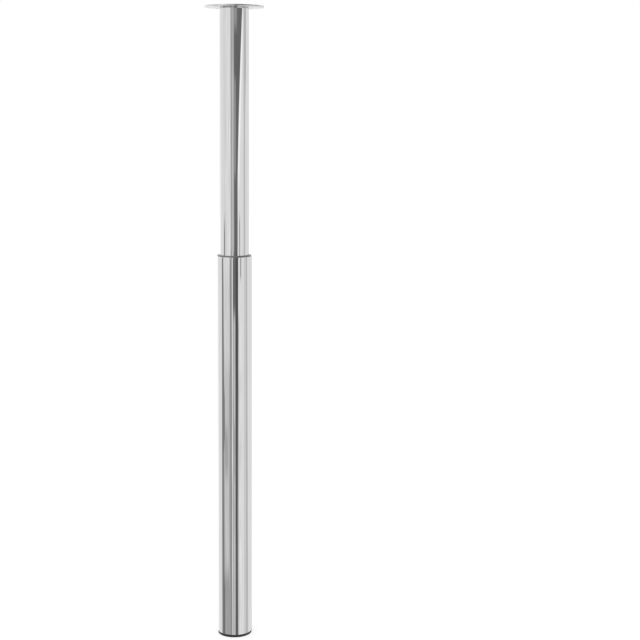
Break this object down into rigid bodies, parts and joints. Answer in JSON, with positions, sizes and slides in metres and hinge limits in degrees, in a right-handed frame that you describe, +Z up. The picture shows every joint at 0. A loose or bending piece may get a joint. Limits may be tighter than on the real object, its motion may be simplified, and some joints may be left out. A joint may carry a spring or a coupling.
{
  "type": "height adjustable table leg",
  "caption": "Telescopic chromed table leg with a round screw-on top plate, an inner twist lock and a levelling foot.",
  "frame": {"origin": "on the floor at the leg's axis, under the middle of the foot", "axes": "+Z up along the leg's axis, from the foot to the top plate; +X between two of the plate's holes"},
  "size_m": [0.1, 0.1, 1.1],
  "materials": {
    "lower_chrome": "polished chrome plate",
    "upper_chrome": "polished chrome plate",
    "plate_chrome": "chrome plate over pressed steel",
    "weld_metal": "plated weld bead",
    "black_plastic": "moulded, fine matt",
    "foot_plastic": "moulded, satin",
    "sole_rubber": "matt rubber",
    "zinc_steel": "bright zinc plate",
    "natural_nylon": "natural moulded",
    "lock_plastic": "moulded, matt",
    "rivet_aluminium": "plain",
    "spring_steel": "bright strip"
  },
  "bodies": {
    "lower_leg": {"lower_tube": "lower_chrome", "guide_bush": "black_plastic", "foot_plug": "black_plastic", "foot_nut": "zinc_steel", "nut_washer": "zinc_steel"},
    "foot": {"foot_pad": "foot_plastic", "foot_sole": "sole_rubber"},
    "stud": {"foot_stud": "zinc_steel"},
    "slider": {"glide_ring": "natural_nylon"},
    "upper_leg": {"upper_tube": "upper_chrome", "mounting_plate": "plate_chrome", "plate_weld": "weld_metal", "stop_clip": "natural_nylon", "lock_plug": "natural_nylon", "plug_rivets": "rivet_aluminium", "lock_washer": "zinc_steel", "lock_screw": "zinc_steel"},
    "lock": {"lock_ring": "lock_plastic", "drag_spring": "spring_steel"}
  },
  "joints": [
    {"name": "extension", "type": "slide", "parent": "lower_leg", "child": "slider", "axis": [0, 0, 1], "range_m": [-0.39, 0]},
    {"name": "twist_lock", "type": "hinge", "parent": "slider", "child": "upper_leg", "pos_m": [0, 0, 0.4786], "axis": [0, 0, 1], "range_deg": [0, 60]},
    {"name": "lock_ring_shift", "type": "hinge", "parent": "upper_leg", "child": "lock", "pos_m": [0.00092, -0.00053, 0.4569], "axis": [0, 0, 1], "range_deg": [-60, 0]},
    {"name": "foot_travel", "type": "slide", "parent": "lower_leg", "child": "foot", "axis": [0, 0, -1], "range_m": [0, 0.02]},
    {"name": "foot_screw", "type": "hinge", "parent": "foot", "child": "stud", "pos_m": [0, 0, 0.0083], "axis": [0, 0, -1], "range_deg": [0, 4800.01]}
  ],
  "couplings": [
    {"joint": "lock_ring_shift", "follows": "twist_lock", "ratio": -1},
    {"joint": "foot_screw", "follows": "foot_travel", "rad_per_m": 4188.8}
  ]
}
